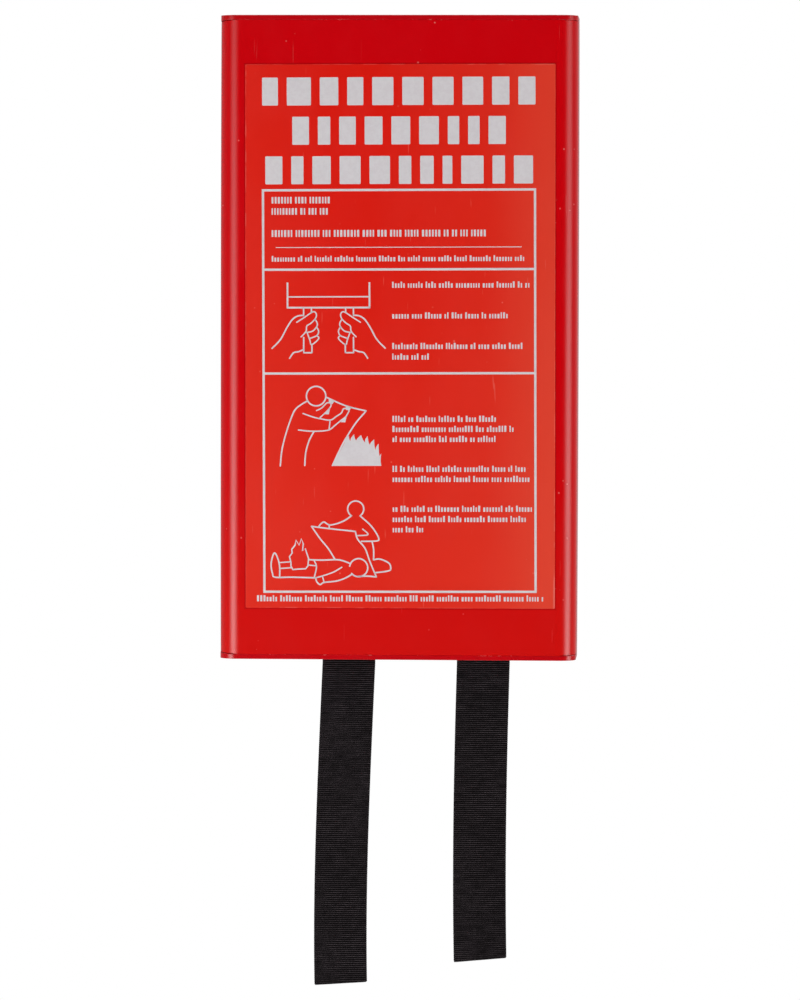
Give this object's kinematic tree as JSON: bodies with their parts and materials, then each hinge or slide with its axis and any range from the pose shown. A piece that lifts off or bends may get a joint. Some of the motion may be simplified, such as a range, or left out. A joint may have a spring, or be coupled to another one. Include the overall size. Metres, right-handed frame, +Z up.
{
  "type": "fire blanket",
  "caption": "Slim wall-hung plastic case holding a folded glass-cloth fire blanket, pulled out downwards by two webbing straps.",
  "frame": {"origin": "midway between the centres of the two keyhole entries in the back of the case, on the wall plane", "axes": "+X to the right and +Z up seen from the front; +Y points out of the back of the case into the wall"},
  "size_m": [0.1686, 0.0402, 0.4599],
  "materials": {
    "case_plastic": "glossy red rigid PVC with fine handling scratches",
    "cap_plastic": "glossy red moulded plastic",
    "label_film": "satin printed film, light grey print on warm red",
    "glass_cloth": "off-white woven glass cloth",
    "white_thread": "off-white sewing thread",
    "black_webbing": "black ribbed webbing",
    "black_thread": "black sewing thread"
  },
  "bodies": {
    "case": {"case_sleeve": "case_plastic", "top_cap": "cap_plastic", "front_label": "label_film"},
    "cap": {"bottom_cap": "cap_plastic"},
    "blanket": {"folded_blanket": "glass_cloth", "hem_thread": "white_thread", "left_strap_sewn_end": "black_webbing", "right_strap_sewn_end": "black_webbing", "left_strap_stitching": "black_thread", "right_strap_stitching": "black_thread"},
    "left_strap": {"left_strap_tail": "black_webbing"},
    "right_strap": {"right_strap_tail": "black_webbing"}
  },
  "joints": [
    {"name": "blanket_slide", "type": "slide", "parent": "case", "child": "blanket", "axis": [0, 0, -1], "range_m": [0, 0.3]},
    {"name": "cap_slide", "type": "slide", "parent": "case", "child": "cap", "axis": [0, 0, -1], "range_m": [0, 0.3]},
    {"name": "left_strap_swing", "type": "hinge", "parent": "blanket", "child": "left_strap", "pos_m": [-0.0231, -0.03425, -0.272], "axis": [-1, 0, 0], "range_deg": [-12, 85]},
    {"name": "right_strap_swing", "type": "hinge", "parent": "blanket", "child": "right_strap", "pos_m": [0.0407, -0.03425, -0.272], "axis": [-1, 0, 0], "range_deg": [-12, 85]}
  ],
  "couplings": [
    {"joint": "cap_slide", "follows": "blanket_slide", "ratio": 1}
  ]
}
